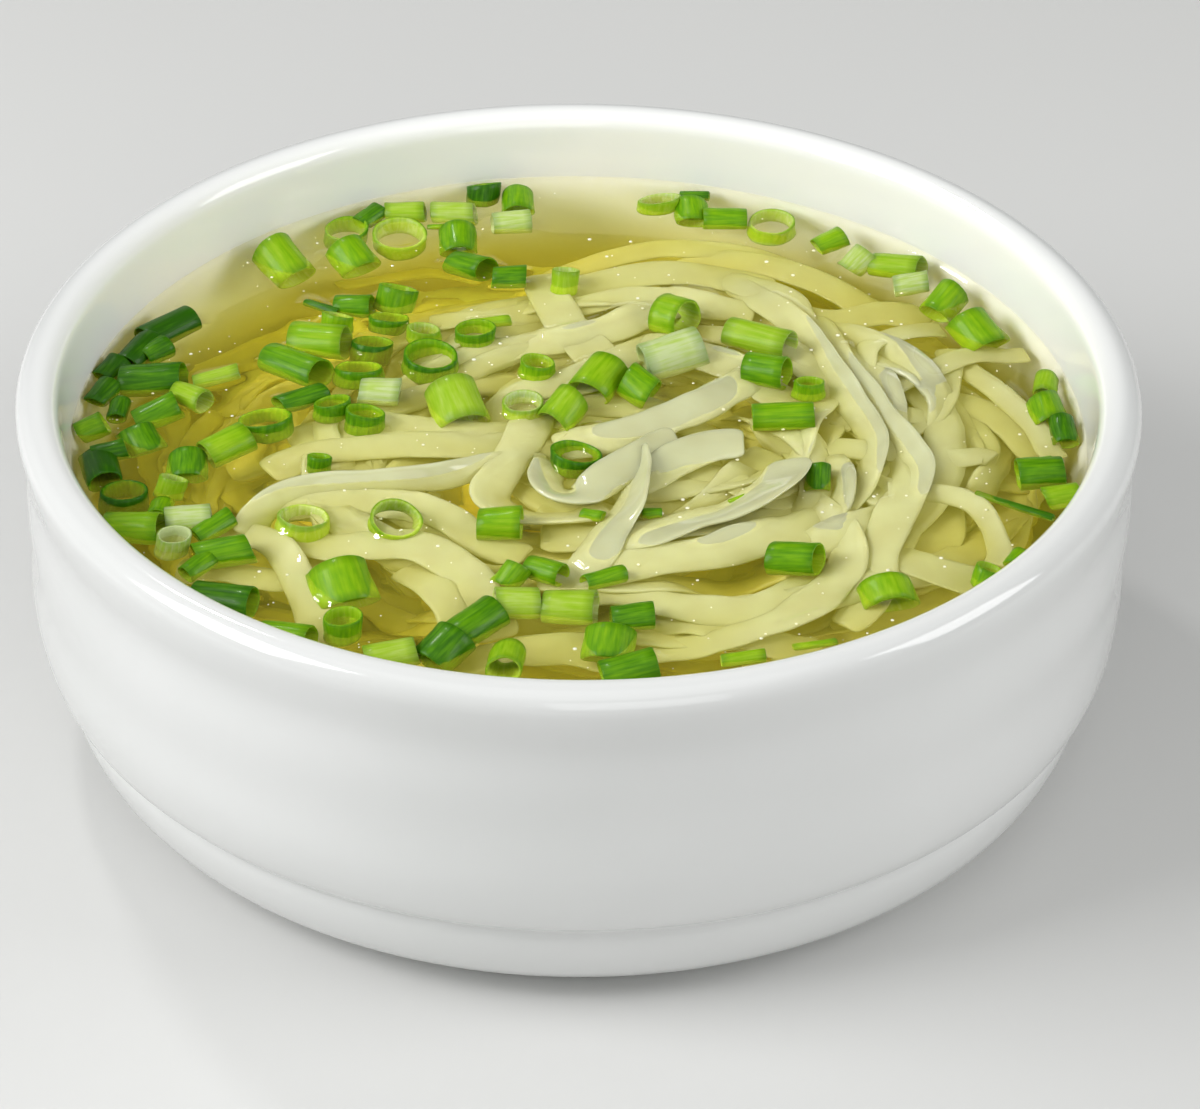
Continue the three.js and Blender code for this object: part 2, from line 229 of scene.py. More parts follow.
def clear_broth():
    """Clear liquid that light may pass, with a thin cloudiness; its depth drinks up the blue."""
    broth = Finish("clear broth")
    broth.set(Base_Color=(1, 1, 1, 1), Transmission_Weight=1.0, IOR=1.333, Roughness=0.04)
    cloud = broth.ramp(broth.noise(35, 1), (0.35, (0.84, 0.76, 0.04)), (0.65, (0.88, 0.81, 0.07)))
    veil = broth.node("BsdfDiffuse", {"Color": cloud})
    veiled = broth.node("MixShader", {0: 0.15, 1: broth.skin.outputs[0], 2: veil.outputs[0]})
    lamp = broth.node("LightPath")
    clear = broth.node("BsdfTransparent", {"Color": (1, 1, 1, 1)})
    passed = broth.node("MixShader", {0: lamp.outputs["Is Shadow Ray"], 1: veiled.outputs[0],
                                      2: clear.outputs[0]})
    broth.feed(broth.out.inputs["Surface"], passed.outputs[0])
    drink = broth.node("VolumeAbsorption", {"Color": (0.98, 0.95, 0.30, 1), "Density": 13.0})
    broth.feed(broth.out.inputs["Volume"], drink.outputs[0])
    return broth.material


def wheat_noodle():
    """Cream dough, wet and shiny above the broth; under the broth its colour is painted with the broth's tint and
    with light and shade by depth: golden where it lies deep, whiter near the top.
    """
    dough = Finish("wheat noodle")
    # Painted broth tint, light and shade by depth; above the broth the dough's own colour.
    painted_depth_tint = dough.ramp(
        dough.height(20, LEVEL),
        (0.0, (0.76, 0.54, 0.01)), (0.35, (0.68, 0.58, 0.03)), (0.6, (0.72, 0.58, 0.06)),
        (0.8, (0.50, 0.45, 0.10)), (0.93, (0.43, 0.43, 0.18)), (1.0, (0.50, 0.51, 0.31)))
    dry = dough.height(LEVEL + 0.1, LEVEL + 0.5)
    painted_depth_tint = dough.mix(dry, painted_depth_tint, (0.63, 0.64, 0.37))
    mottle = dough.ramp(dough.noise(160, 1), (0.3, (0.90, 0.88, 0.84)), (0.7, (1, 1, 1)))
    rough = dough.node("MapRange", {"Value": dry, "To Min": 0.5, "To Max": 0.2})
    shine = dough.node("MapRange", {"Value": dry, "To Min": 0.1, "To Max": 0.9})
    dough.set(Base_Color=dough.mix(1.0, painted_depth_tint, mottle, "MULTIPLY"), IOR=1.4,
              Roughness=rough.outputs["Result"], Coat_Weight=shine.outputs["Result"],
              Coat_Roughness=0.05, Subsurface_Weight=0.25,
              Subsurface_Radius=(1.0, 0.85, 0.5), Subsurface_Scale=4.5 * MM)
    dough.bump(dough.noise(520, 1), 0.25, 0.25)
    return dough.material


def painted_deep_shade():
    """The heap's inside, seen only through the gaps between the noodles; its golden-brown colour is painted shade and
    broth tint of the deep heap.
    """
    deep = Finish("painted deep shade")
    # Painted shade and broth tint of the deep heap, in patches, yellower below 33 mm.
    patchy = deep.ramp(deep.noise(70, 3), (0.3, (0.82, 0.52, 0.01)), (0.7, (0.88, 0.68, 0.04)))
    shaded = deep.mix(deep.height(33, 40), (0.66, 0.60, 0.05), patchy)
    deep.set(Base_Color=shaded, Roughness=0.8)
    deep.bump(deep.noise(200, 2), 0.5, 1.0)
    return deep.material


def onion_leaf():
    """Spring onion: tone 0 is the white of the stalk and 1 the dark tip of the leaf."""
    leaf = Finish("spring onion")
    tone = leaf.node("Attribute", attribute_name="tone").outputs["Fac"]
    side = leaf.node("Attribute", attribute_name="side").outputs["Fac"]
    around = leaf.node("UVMap", uv_map="leaf").outputs["UV"]
    stretched = leaf.node("Mapping", {"Vector": around, "Scale": (34, 1.2, 1)}).outputs["Vector"]
    veins = leaf.noise(1.0, 3, stretched)
    blotch = leaf.noise(260, 2)
    shift = leaf.math("MULTIPLY", leaf.math("SUBTRACT", veins, 0.5), 0.55)
    shift = leaf.math("ADD", shift, leaf.math("MULTIPLY", leaf.math("SUBTRACT", blotch, 0.5), 0.25))
    inner = leaf.math("MULTIPLY", leaf.math("SUBTRACT", 1.0, side), -0.22)
    shade = leaf.math("ADD", leaf.math("ADD", tone, shift), inner, clamp=True)
    green = leaf.ramp(
        shade,
        (0.0, (0.74, 0.82, 0.48)), (0.18, (0.52, 0.70, 0.09)), (0.4, (0.39, 0.63, 0.005)),
        (0.62, (0.20, 0.48, 0.004)), (0.82, (0.07, 0.26, 0.002)), (1.0, (0.02, 0.11, 0.001)))
    edge = leaf.node("Attribute", attribute_name="edge").outputs["Fac"]
    outlined = leaf.mix(leaf.math("MULTIPLY", edge, 0.4), green, (0.03, 0.16, 0.001))
    leaf.set(Base_Color=outlined, Roughness=0.34, IOR=1.36, Specular_IOR_Level=0.3,
             Coat_Weight=0.15, Coat_Roughness=0.08)
    leaf.bump(veins, 0.35, 0.3)
    glow = leaf.node("BsdfTranslucent", {"Color": outlined})
    lit = leaf.node("MixShader", {0: 0.3, 1: leaf.skin.outputs[0], 2: glow.outputs[0]})
    leaf.feed(leaf.out.inputs["Surface"], lit.outputs[0])
    return leaf.material


def pale_oil():
    oil = Finish("pale oil")
    tone = oil.ramp(oil.noise(90, 2), (0.3, (0.86, 0.84, 0.62)), (0.7, (0.96, 0.95, 0.82)))
    oil.set(Base_Color=tone, Roughness=0.12, Coat_Weight=0.5, Coat_Roughness=0.03)
    return oil.material


def pale_table():
    table = Finish("pale table")
    tone = table.ramp(table.noise(3, 2), (0.3, (0.63, 0.63, 0.62)), (0.7, (0.65, 0.65, 0.64)))
    table.set(Base_Color=tone, Roughness=0.7)
    return table.material


# ---------------------------------------------------------------- the bowl

INNER_WALL = [(0, 8.8), (30, 8.9), (52, 9.6), (61, 10.8), (67, 13.2), (72, 16.4), (75.6, 20.2),
              (78.2, 25), (80, 32), (81.1, 40), (WALL_AT_LEVEL, LEVEL), (82.3, 54), (82.7, 57)]
OUTER_WALL = [(0, 2.6), (40, 2.6), (69, 2.6), (70.9, 2.3), (72, 0.5), (72.6, 0), (76.9, 0),
              (77.5, 0.5), (77.6, 2.2), (77.9, 2.9), (80.6, 3.3), (82.2, 4.4), (83.9, 6.6),
              (85.0, 9.4), (85.7, 12.4), (85.9, 14.6), (85.6, 15.8), (85.5, 16.6), (86.6, 17.3),
              (88.0, 18.6), (88.9, 21), (89.4, 24.4), (89.4, 28), (89.25, 32), (89.2, 36), (89.35, 40.5),
              (89.3, 45), (88.95, 49), (88.9, 52.4), (89.5, 55.6)]
LIP_RADIUS = 3.5


def lip():
    """The rounded lip, over the top from outside to inside."""
    around = range(0, 181, 20)
    return [(86.5 + LIP_RADIUS * math.cos(math.radians(a)), 59.5 + LIP_RADIUS * math.sin(math.radians(a)))
            for a in around]


def make_bowl():
    bowl = turn("soup_bowl", OUTER_WALL + lip() + INNER_WALL[::-1], 96)
    apply_modifier(bowl, "SUBSURF", levels=1, render_levels=1)
    # The wall was finished by hand and is faintly uneven, most along the flanks.
    for vertex in bowl.data.vertices:
        x, y, z = vertex.co
        radius = math.hypot(x, y)
        if radius > 84 * MM and z > 18 * MM:
            swell = noise.noise(Vector((x * 18, y * 18, z * 90)))
            push = 0.5 * MM * swell * min(1, (z - 18 * MM) / (10 * MM)) * min(1, (63 * MM - z) / (8 * MM))
            vertex.co.x += x / radius * push
            vertex.co.y += y / radius * push
    # A share of one takes the inner colour; the outer colour is a white painted darker, as shade.
    inside = bowl.data.attributes.new("inside", "FLOAT", "POINT")
    for vertex, share in zip(bowl.data.vertices, inside.data):
        radius, height = vertex.co.xy.length / MM, vertex.co.z / MM
        if height > LEVEL:
            share.value = min(1, max(0, (87.5 - radius) / 4))
        else:
            share.value = float(radius < 83.3 and height > 7)
    smooth(bowl)
    give(bowl, porcelain(), "porcelain", "bowl")
    return bowl


# ---------------------------------------------------------------- noodles

NOODLE_THICK = 1.25
BLANK_WIDTH = 4  # faces across a noodle

# Noodles at and near the surface, as the eye sees them on the broth from the camera:
# width, ruffle, then [x, y, depth, roll] along the middle; a negative depth stands out.
NOODLES = [
    (8.6, 0.5, [(34, -8, -4.6, 24), (31, -15, -3.4, 32), (26, -21, -2.2, 26), (19, -26, -1.4, 16),
                (10, -30, -0.6, 8), (2, -31, 1.5, 4), (-6, -31, 3, 0)]),
    (7.6, 0.4, [(9.6, -8, -0.4, 60), (9.4, -16, -2.2, 50), (7.6, -23, -2.0, 30), (4.2, -30, -1.4, 14),
                (1.4, -37, -0.6, 6), (-2, -44, 1.6, 2)]),
    (7.8, 0.7, [(-4.6, -10, 0.8, -30), (-5.2, -15.6, -0.8, -34), (-1.6, -19, -1.8, -12),
                (3.4, -15.4, -2.8, 10), (7.0, -10.6, -3.0, 14), (12, -8, -2.2, 24), (16.4, -3.6, -0.6, 36)]),
    (8.0, 0.3, [(5, -18, 1.6, 0), (10, -13.4, -0.6, 6), (15, -8.6, -2.0, 8), (20.4, -5.0, -2.8, 8),
                (26.6, -3.4, -3.4, 4)]),
    (8.4, 0.5, [(-4, -6, 1.0, 8), (4, -2.6, -0.6, 12), (11, 1.4, -2.0, 16), (17.4, 6.6, -2.6, 18),
                (23, 12, -1.8, 12), (29, 17, 0.6, 8), (36, 20, 3, 4)]),
    (7.4, 0.5, [(-7, 8, 2.4, -8), (-8.4, 0, 0.6, -8), (-10, -7, -0.2, -6), (-12.6, -14, 0.2, -10),
                (-13.4, -20, 0.8, -22), (-9, -25, 1.2, -30), (-2, -25.6, 0.8, -24), (5, -23, 1.4, -10)]),
    (6.6, 0.5, [(-52, -31, 1.8, 30), (-47.6, -21.4, 0.8, 44), (-40, -17, 0.2, 56), (-30, -15.4, 0.1, 60),
                (-21, -13.6, 0.2, 52), (-13, -11, 0.8, 30), (-5, -11, 2.4, 10)]),
    (8.0, 0.5, [(-49, -13, 3.0, 0), (-42, -7, 1.8, 4), (-32, -4.6, 1.2, 6), (-22, -4.4, 1.0, 6),
                (-12, -5.4, 1.6, 4), (-2, -8, 3.0, 0)]),
    (7.4, 0.6, [(-47, -4, 3.4, 0), (-38, 0, 2.4, 0), (-27, 0.6, 1.4, 4), (-16, -1.2, 1.4, 6),
                (-6, -2, 2.6, 4), (4, -7, 4, 0)]),
    (8.6, 0.5, [(-6, -42, 1.6, 0), (3, -40, 0.6, 6), (12, -37.4, 0.2, 12), (21, -34.6, 0.2, 14),
                (30, -30.4, 0.4, 12), (38, -26, 1.2, 8), (45, -22, 2.6, 4)]),
    (7.0, 0.6, [(-2, -46, 2.6, 0), (6, -46, 1.6, 4), (14, -48, 1.0, 6), (22, -50, 1.0, 8),
                (30, -47.6, 1.2, 8), (35, -42, 2.0, 4), (37, -35, 3.4, 0)]),
    (7.4, 0.5, [(33, -16, 2.6, 4), (38, -23, 1.2, 12), (41, -31, 0.6, 16), (40.4, -39, 0.5, 12),
                (36, -47, 0.6, 8), (28.6, -54, 1.0, 6), (18, -59.4, 2.2, 4), (8, -61, 4, 0)]),
    (6.6, 0.4, [(27, 47, 1.6, 0), (32, 40, 0.8, 10), (37, 31, 0.4, 34), (41, 22, 0.2, 48),
                (44, 12, 0.1, 54), (46.4, 2, 0.1, 52), (47.6, -8, 0.3, 44), (45, -17, 1.0, 24), (40, -25, 2.4, 6)]),
    (7.2, 0.4, [(39, 36, 2.2, 4), (41.6, 26, 1.0, 26), (45, 16, 0.4, 42), (48, 6, 0.2, 46),
                (51.4, -3, 0.1, 40), (53.4, -11, 0.0, 26), (51.4, -19, 0.1, 6), (47.6, -27, 0.3, 2),
                (46, -36, 0.6, 4), (44, -46, 1.4, 6), (40, -54, 3.0, 0)]),
    (6.0, 0.3, [(40, -4, 2.2, 0), (48, -5.4, 1.0, 2), (56, -6.4, 0.6, 4), (62, -7.4, 0.6, 2),
                (66.4, -8, 1.0, 0)]),
    (4.8, 0.4, [(42, -13, 2.2, 0), (51, -16.4, 1.0, 10), (58, -18.6, 0.7, 26), (63.6, -23, 0.8, 34),
                (66, -30, 1.0, 30), (64.6, -38, 1.8, 10)]),
    (8.0, 0.4, [(44, -31, 3.2, 0), (50, -36, 1.6, 0), (56, -40, 1.2, 0), (63, -44.6, 2.2, 0)]),
    (9.0, 0.3, [(52, -14, 5.4, 0), (56, -22, 4.6, 0), (56.4, -30, 4.6, 0), (52, -37, 5.4, 0)]),
    (5.6, 0.4, [(75, 24, 2.2, 4), (67, 24.6, 1.0, 12), (60, 21.4, 0.7, 20), (53.4, 15.6, 0.8, 22),
                (47, 8.6, 1.2, 12), (42, 1, 2.6, 4)]),
    (5.0, 0.4, [(62, 26, 3.0, 0), (61.4, 17, 1.4, 14), (59.6, 9, 1.0, 24), (55.4, 2.4, 1.0, 22),
                (49, -3, 1.6, 10), (42, -8, 3.2, 0)]),
    (4.8, 0.4, [(63, 22, 2.4, 8), (67.6, 15.6, 1.0, 24), (71.4, 8, 0.8, 26), (75, 0, 1.0, 20), (77, -8, 2.0, 6)]),
    (5.6, 0.4, [(62, 31, 2.6, 0), (55, 31.4, 1.2, 8), (49, 28, 0.9, 22), (46.4, 20, 1.0, 28), (45.6, 11, 1.8, 14)]),
    (5.4, 0.3, [(49, 3.4, 1.2, 0), (53, 5, 0.8, 0), (57.4, 4.6, 1.4, 0)]),
    (7.0, 0.5, [(57, 10, 3.6, 0), (64, 7.4, 2.6, 4), (71, 2, 3.0, 0), (74, -8, 4, 0)]),
    (8.0, 0.7, [(-22, 23, 3.2, 0), (-12, 24.6, 1.4, 4), (-3, 27.6, 0.4, 10), (5, 32, 0.2, 12),
                (13, 37.6, 0.6, 8), (21, 42, 1.6, 4)]),
    (8.0, 0.5, [(-5.6, 49, 2.6, 0), (-4.8, 41, 1.2, 6), (-2.4, 33, 0.6, 10), (1, 25, 1.0, 6), (5, 17, 2.6, 0)]),
    (8.4, 0.5, [(-3, 44, 3.0, 0), (6, 47.6, 1.8, 2), (15, 50, 1.6, 4), (24, 49.4, 1.8, 2), (33, 45, 2.6, 0)]),
    (7.4, 0.6, [(-1, 39, 2.2, 0), (7, 42.4, 1.0, 8), (15, 42, 0.6, 14), (22.6, 38.6, 0.8, 10), (30, 37, 2.0, 2)]),
    (7.6, 0.5, [(24, 50, 2.4, 0), (30, 46, 1.2, 0), (35.6, 40, 1.0, 4), (38, 32, 2.2, 0)]),
    (6.8, 0.5, [(-26, 33, 3.6, 0), (-20, 34.4, 2.0, 4), (-13, 34, 2.2, 6), (-6, 37, 3.4, 0)]),
    (7.6, 0.6, [(-14, 1, 3.0, 0), (-12, 8, 1.4, 6), (-6, 13, 0.6, 10), (2, 16.4, 0.4, 8), (8, 23, 0.8, 6),
                (14, 28.6, 2.0, 0)]),
    (8.2, 0.5, [(10, 27, 1.6, 0), (17, 24, 0.2, 6), (24, 20, 0.0, 8), (30.6, 13.6, 0.8, 4), (36, 7, 2.2, 0)]),
    (5.2, 0.4, [(41, 10, 2.2, 10), (38, 3, 0.8, 26), (35.8, -5, 0.4, 34), (34.6, -13, 0.6, 26), (36.6, -21, 1.8, 8)]),
    (6.4, 0.5, [(-57, -29, 2.4, 0), (-49.6, -31.6, 1.2, 6), (-45, -37.4, 0.8, 16), (-42.6, -45, 1.0, 18),
                (-40, -53, 1.8, 10), (-37.6, -60, 3, 0)]),
    (8.4, 0.6, [(-46, -31, 2.4, 0), (-37, -34, 1.4, 2), (-28, -32.8, 0.8, 6), (-20.6, -35.4, 0.6, 12),
                (-16, -41.6, 0.8, 14), (-14, -50, 1.8, 6), (-12, -58, 4, 0)]),
    (7.0, 0.5, [(-48, -24, 2.2, 0), (-39, -21.6, 1.4, 6), (-30, -22.4, 1.0, 10), (-21.6, -25.6, 1.2, 8),
                (-15, -31, 1.8, 4), (-8, -36.4, 2.6, 0)]),
    (6.4, 0.5, [(-27, -40, 3.0, 0), (-22.4, -44, 1.8, 8), (-19.6, -50, 1.6, 10), (-17, -57, 3.2, 0)]),
    (7.8, 0.5, [(-62, -41, 4.4, 0), (-54, -40.6, 3.0, 0), (-46, -42, 3.2, 0), (-39, -38, 4.4, 0)]),
    (8.0, 0.4, [(-20, -66, 5, 0), (-10, -61, 3.6, 0), (0, -60.4, 3.4, 0), (10, -65, 5, 0)]),
    (8.4, 0.4, [(8, -54, 3.6, 0), (18, -53, 2.4, 0), (28, -58, 3.0, 0), (36, -62, 5, 0)]),
    (7.6, 0.5, [(-6, -22, 3.6, 0), (4, -25.6, 3.0, 0), (14, -22, 2.6, 0), (24, -15.6, 2.0, 0), (31, -6, 2.8, 0)]),
    (7.6, 0.5, [(16, -13, 2.2, 0), (23, -13.4, 1.2, 4), (30, -19, 1.4, 0), (38, -17, 2.6, 0)]),
    (7.4, 0.4, [(34, 38, 4.0, 0), (43, 34.6, 3.0, 0), (52, 36.6, 3.2, 0), (60, 34, 4.6, 0)]),
    (7.6, 0.5, [(14, 47, 6.0, 0), (22, 54, 4.2, 0), (30, 54, 3.2, 0), (38, 50, 3.0, 0), (46, 43.5, 3.6, 0),
                (53, 35, 5.4, 0)]),
    (6.6, 0.5, [(-8, 45, 7.0, 0), (2, 54, 5.6, 0), (13, 58, 4.4, 0), (24, 58, 3.8, 0), (33, 55, 4.4, 0),
                (41, 46, 6.4, 0)]),
    (7.0, 0.4, [(58, 12, 4.6, 0), (63, 4, 3.2, 0), (65, -4, 3.0, 0), (62, -12, 3.4, 0), (57, -19, 4.6, 0)]),
]

# Places without noodles near the surface: x, y, radius.
POOLS = [(-64, -8, 13), (-62, 8, 13), (-60, 26, 12), (-48, 44, 12), (-30, 52, 12), (-14, 50, 9),
         (-57, -24, 7), (-31, -54, 7), (-47, -47, 5), (-5, -54, 5), (25, -42, 7), (28, 11, 6),
         (14, -20, 4), (66, -1, 5), (60, -31, 4), (41, -41, 3), (-22, -17, 4), (-30, -44, 5)]


def strip(cuts):
    """A straight noodle, a metre long and a millimetre wide until it is laid."""
    deselect()
    bpy.ops.mesh.primitive_grid_add(x_subdivisions=cuts, y_subdivisions=BLANK_WIDTH, size=1)
    piece = bpy.context.object
    bpy.ops.object.mode_set(mode="EDIT")
    bpy.ops.mesh.select_all(action="SELECT")
    bpy.ops.transform.resize(value=(1, MM, 1))
    bpy.ops.object.mode_set(mode="OBJECT")
    apply_modifier(piece, "SOLIDIFY", thickness=NOODLE_THICK * MM, offset=0.0)
    return piece


def path_through(places, rolls):
    """A curve that keeps the strip's flat side up, rolled as told at each place."""
    line = bpy.data.curves.new("lie", "CURVE")
    line.dimensions = "3D"
    line.twist_mode = "Z_UP"
    line.resolution_u = 10
    line.use_stretch = line.use_deform_bounds = True
    spline = line.splines.new("BEZIER")
    spline.tilt_interpolation = "BSPLINE"
    spline.bezier_points.add(len(places) - 1)
    for point, place, roll in zip(spline.bezier_points, places, rolls):
        point.co = place
        point.handle_left_type = point.handle_right_type = "AUTO"
        point.tilt = math.radians(roll)
    path = bpy.data.objects.new("lie", line)
    bpy.context.collection.objects.link(path)
    return path


def wandering(places, rolls, seed):
    """The same line with places between the given ones, strayed a little to the side and turned."""
    fuller, turned = [], []
    last = len(places) - 1
    for i in range(last):
        a, b, c, d = (places[max(0, min(last, i + k))] for k in (-1, 0, 1, 2))
        for share in (0, 0.5):
            place = b + share * (c - a) / 2 + share ** 2 * (2 * a - 5 * b + 4 * c - d) / 2
            place += share ** 3 * (3 * b - a - 3 * c + d) / 2
            stray = noise.noise_vector(Vector((i + share, seed * 2.3, 1.5)) * 0.9)
            fuller.append(place + Vector((stray.x, stray.y, 0.4 * stray.z)) * 1.3 * MM)
            roll = rolls[i] + share * (rolls[i + 1] - rolls[i])
            turned.append(roll + 18 * noise.noise(Vector((i + share, 7.7, seed * 1.3)) * 0.8))
    return fuller + [places[last]], turned + [rolls[last]]


def lay_noodle(blank, width, ruffle, places, rolls, seed):
    """Bend a copy of the strip along a line; its rims are thin and wave, its width wanders."""
    noodle = copy_of(blank, "noodle")
    length = sum((b - a).length for a, b in zip(places, places[1:]))
    for vertex in noodle.data.vertices:
        along = (vertex.co.x + 0.5) * length / MM
        rim = vertex.co.y / (0.5 * MM)
        # The cut ends are rounded.
        end = min(1, (min(along, length / MM - along) + 0.8) / (0.3 * width))
        wander = 1 + 0.22 * noise.noise(Vector((along / 15, seed * 3.1, 0)))
        wander *= math.sqrt(1 - (1 - end) ** 2)
        ragged = 0.25 * noise.noise(Vector((along / 5, math.copysign(9, rim), seed * 0.9)))
        wave = noise.noise(Vector((along / 9, math.copysign(4, rim), seed * 1.7)))
        vertex.co.y = (rim * width / 2 * wander + ragged * abs(rim)) * MM
        cup = 0.12 * width * noise.noise(Vector((along / 16, seed * 2.9, 5)))
        vertex.co.z *= math.sqrt(1 - 0.7 * rim * rim)
        vertex.co.z += (ruffle * wave * rim * rim + cup * (rim * rim - 0.4)) * MM
    places, rolls = wandering(places, rolls, seed)
    path = path_through(places, rolls)
    apply_modifier(noodle, "CURVE", object=path, deform_axis="POS_X")
    discard(path)
    return noodle


def seen(x, y, depth, roll=0):
    """The true place of what seems to lie at x, y on the broth."""
    slip = BEND * depth if depth > 0 else RISE * 0.5 * depth
    depth = depth if depth > 0 else 0.5 * depth
    return Vector((x, y + slip, LEVEL - depth - NOODLE_THICK / 2)) * MM


def make_noodles():
    blank = strip(44)
    laid = [lay_noodle(blank, 0.95 * width, ruffle, [seen(*place) for place in places],
                       [place[3] for place in places], seed)
            for seed, (width, ruffle, places) in enumerate(NOODLES)]
    discard(blank)
    noodles = join("noodles_on_top", laid)
    apply_modifier(noodles, "SUBSURF", levels=1, render_levels=1)
    smooth(noodles)
    return noodles


def wall_radius(height):
    """Inner radius of the bowl at a height."""
    for (low_radius, low), (high_radius, high) in zip(INNER_WALL, INNER_WALL[1:]):
        if height <= high:
            return low_radius + (high_radius - low_radius) * (height - low) / (high - low)
    return INNER_WALL[-1][0]


def pool_depth(x, y):
    """How much deeper a noodle lies where the broth is open."""
    return max((min(1, 1.5 * (1 - math.hypot(x - px, y - py) / (1.5 * radius))) for px, py, radius in POOLS
                if math.hypot(x - px, y - py) < 1.5 * radius), default=0)


def make_sunk_noodles(chance):
    """Long loose sweeps round the heap, layer under layer."""
    blank = strip(40)
    laid = []
    count = 150
    for number in range(count):
        depth = 3.2 + 22 * (number / count) ** 1.3
        spread = min(1, 0.35 + depth / 18)
        bend = chance.uniform(20, 36 + 30 * spread)
        middle = (10 + spread * chance.uniform(-26, 20), -4 + spread * chance.uniform(-22, 26))
        start = chance.uniform(0, math.tau)
        sweep = chance.uniform(80, 130) / bend
        places, rolls = [], []
        for step in range(9):
            angle = start + sweep * step / 8
            x = middle[0] + bend * math.cos(angle) * 1.1
            y = middle[1] + bend * math.sin(angle) * 0.9
            down = depth + 2.2 * math.sin(step * 1.3 + number)
            down += 8 * pool_depth(x, y - BEND * down) * (depth < 14)
            down -= 2.2 * min(1, max(0, (x - 25) / 20))
            beyond = math.hypot((x - 10) / 62, (y + 4) / 54)
            down = min(max(down, 16 * min(1, max(0, beyond - 0.9) * 5)), 37)
            y = min(y, 50 + BEND * down)
            reach = (wall_radius(LEVEL - down - 3) - 8) / max(math.hypot(x, y), 1)
            if reach < 1:
                x, y = x * reach, y * reach
            places.append(Vector((x, y, LEVEL - down - NOODLE_THICK / 2)) * MM)
            rolls.append(chance.uniform(-40, 40))
        laid.append(lay_noodle(blank, chance.uniform(4.4, 7.4), 0.7, places, rolls, 100 + number))
    discard(blank)
    noodles = join("noodles_below", laid)
    smooth(noodles)
    return noodles


def crown(share, squareness):
    """Height of a flat-topped heap at a share of its width, as a share of its own height."""
    return max(0, 1 - share ** squareness) ** (1 / squareness)


def make_heap_core():
    """What fills the heap under the noodles: a low mound with a lumpy broad top, wholly sunk."""
    deselect()
    bpy.ops.mesh.primitive_uv_sphere_add(segments=128, ring_count=80, radius=MM)
    core = bpy.context.object
    core.name = core.data.name = "heap_core"
    for vertex in core.data.vertices:
        x, y, z = vertex.co / MM
        # The sphere's upper half is spread into a disc, thickest round the heap's shoulders.
        out = math.hypot(x, y) if z > 0 else 1.0
        x, y = 1 + 70 * x, 1 + 69 * y
        if z <= 0:
            vertex.co = Vector((x, y, 22 + 10 * z)) * MM
            continue
        top = 22 + 11 * crown(out, 3)
        share = math.hypot((x - 10) / 58, (y + 4) / 51)
        shoulder = 31.4 + 10.5 * crown(min(1, share), 4)
        top = max(top, shoulder if share < 1 else 0)
        top -= 8 * pool_depth(x, y - BEND * (LEVEL - top)) * (top > 36)
        top += 1.6 * noise.noise(Vector((x, y, 0)) * 0.12)
        vertex.co = Vector((x, y, top)) * MM
    smooth(core)
    return core


# ---------------------------------------------------------------- spring onion

# Tone of each larger piece, by the number in its name: 0 is white, 1 the darkest green. The pieces along the left
# wall are set darker partly as painted shade, for the shadow of the rim.
TONES = [
    0.98, 1.00, 0.90, 0.74, 0.76, 1.00, 0.74, 1.00, 0.52, 0.10, 0.70, 0.88,  # left wall
    0.50, 0.72, 0.58, 0.42, 0.30, 0.66, 0.62, 0.70,  # back left
    0.80, 0.45, 0.70, 0.88, 0.70, 0.72, 0.74, 0.50, 0.80, 0.74, 0.36, 0.36,  # left of the middle
    0.52, 0.46, 0.66, 0.46, 0.05, 0.36, 0.70, 0.55, 0.88, 0.58,  # on the noodles
    0.52, 0.78, 0.88, 0.36, 0.60, 0.72, 0.70, 0.50,  # front
    0.72, 0.58, 0.58, 0.58, 0.36, 0.40, 0.62,  # right wall
]

